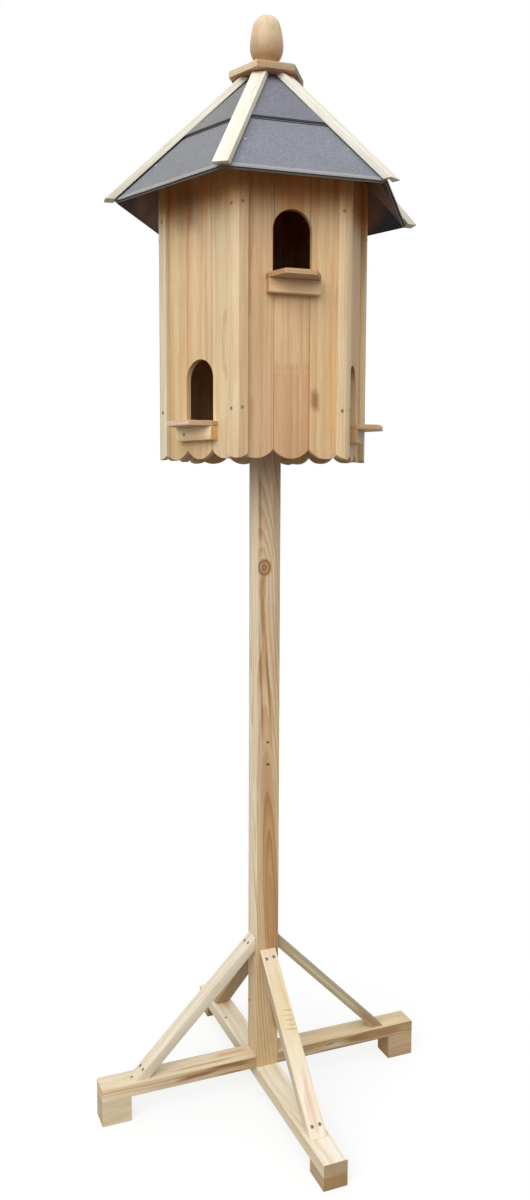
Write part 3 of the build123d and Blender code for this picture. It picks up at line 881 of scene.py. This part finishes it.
# ---------------------------------------------------------------- cap
# A six-sided board with planed edges closes the roof over the tops of the hip battens and
# carries the finial. Its top is browned, and its edges carry painted light and shade: palest
# on the left towards the lamp, darkest on the front right.
CAP_EDGES = ("#c6a483", "#9a9684", "#c9b08e", "#cbb290", "#d8c6a6", "#fdf9f0")
# Strong lines, which show again on the edges
cap_pine = pine("planed_pine_cap", ring=4.0, figure=0.55)
cap = grain(ease(sawn("roof_cap"), 1.0 * MM), (0.9, 0.42, 0), (0, 0, 1), "#ca9d79")
# Painted light and shade: each edge gets the shade of how it faces the light
for n, shade in enumerate(CAP_EDGES):
    tint(cap, facing(n) @ Vector((0, -1, 0)), shade, "#b3a890" if n == 0 else None,
         (0, -35, 35))
piece("hexagon_cap", cap, cap_pine, "wall_pine", "roof_cap")

# ---------------------------------------------------------------- finial
# A solid acorn turned on a lathe from one block, its grain upright, and sanded, so it is
# smoother than planed wood and shines a little. Its tip is pale, and it gets browner down to
# the foot: painted shade under its swell, on wood that is a little less polished there.
finial_pine = pine("turned_pine_finial", ring=3.4, figure=0.4, sway=5, roughness=0.5)
acorn = grain(sawn("finial"), (0, 0, 1), (0, -1, 0), "#e5d1b0", pith=(0.075, -0.031, 2))
heights = [v.co.z for v in acorn.verts]
low, high = min(heights), max(heights)
timber = acorn.loops.layers.float_color["timber"]
# Pale at the tip and darker towards the foot, partly painted shade
pale, shaded_foot = linear("#f2dfc0"), linear("#bd9f76")
for corner in (loop for face in acorn.faces for loop in face.loops):
    share = min(1, (high - corner.vert.co.z) / (high - low) / 0.75)
    corner[timber] = [a + (b - a) * share for a, b in zip(pale, shaded_foot)]
piece("turned_acorn", acorn, finial_pine, "wall_pine", "finial")

# ---------------------------------------------------------------- floor and light
# A plain pale floor under an even white sky, with one broad soft lamp high on the left.
# Seen directly, floor and sky are white; the floor keeps the dovecote's faint shadow.
SKY = 0.71
LAMP = 0.66 * pi
GLOW = 0.76             # makes the floor white where it is seen
FLOOR_REACH = 40        # metres


def seen_directly(tree):
    """1 for what is seen straight on, in a shine or through glass, and 0 for what only
    lights the dovecote."""
    path = tree.nodes.new("ShaderNodeLightPath")
    seen = add(tree, "ShaderNodeMath", {"operation": "MAXIMUM"},
               {0: path.outputs["Is Camera Ray"], 1: path.outputs["Is Glossy Ray"]})
    return add(tree, "ShaderNodeMath", {"operation": "MAXIMUM"},
               {0: seen, 1: path.outputs["Is Transmission Ray"]})


floor_mesh = bpy.data.meshes.new("studio_floor")
floor_mesh.from_pydata([(x * FLOOR_REACH, y * FLOOR_REACH, 0)
                        for x, y in ((-1, -1), (1, -1), (1, 1), (-1, 1))],
                       [], [(0, 1, 2, 3)])
floor = bpy.data.objects.new("studio_floor", floor_mesh)
bpy.context.scene.collection.objects.link(floor)
# Matt paint: grey in the light it throws on the dovecote, white where it is seen
floor_paint, tree = blank("pale_floor")
dull = add(tree, "ShaderNodeBsdfDiffuse", {}, {"Color": linear("#767676")})
white = add(tree, "ShaderNodeBsdfDiffuse", {}, {"Color": linear("#898989")})
glow = add(tree, "ShaderNodeEmission", {}, {"Color": linear("#ffffff"), "Strength": GLOW})
bright = add(tree, "ShaderNodeAddShader", {}, {0: white, 1: glow})
paint = add(tree, "ShaderNodeMixShader", {}, {0: seen_directly(tree), 1: dull, 2: bright})
add(tree, "ShaderNodeOutputMaterial", {}, {"Surface": paint})
floor_mesh.materials.append(floor_paint)

world = bpy.data.worlds.new("white_sky")
bpy.context.scene.world = world
world.use_nodes = True
tree = world.node_tree
tree.nodes.clear()
light = add(tree, "ShaderNodeBackground", {}, {"Color": linear("#ffffff"), "Strength": SKY})
white = add(tree, "ShaderNodeBackground", {}, {"Color": linear("#ffffff"), "Strength": 1})
sky = add(tree, "ShaderNodeMixShader", {}, {0: seen_directly(tree), 1: light, 2: white})
add(tree, "ShaderNodeOutputWorld", {}, {"Surface": sky})

lamp = bpy.data.lights.new("soft_key", "SUN")
lamp.energy = LAMP
lamp.angle = radians(55)
key = bpy.data.objects.new("soft_key", lamp)
key.rotation_euler = Vector((-0.580, -0.622, 0.525)).to_track_quat("Z", "Y").to_euler()
bpy.context.scene.collection.objects.link(key)

# ---------------------------------------------------------------- camera
# A wide lens at chest height, to the left of the front and not two metres away, that
# looks slightly down, so that the whole dovecote is in view.
camera = bpy.data.objects.new("camera", bpy.data.cameras.new("camera"))
camera.location = (-0.69005, -1.68794, 1.15095)
camera.rotation_euler = (radians(83.940), radians(-0.229), radians(-22.243))
camera.data.lens = 29.361
bpy.context.scene.collection.objects.link(camera)
bpy.context.scene.camera = camera
bpy.context.scene.view_settings.view_transform = "Standard"
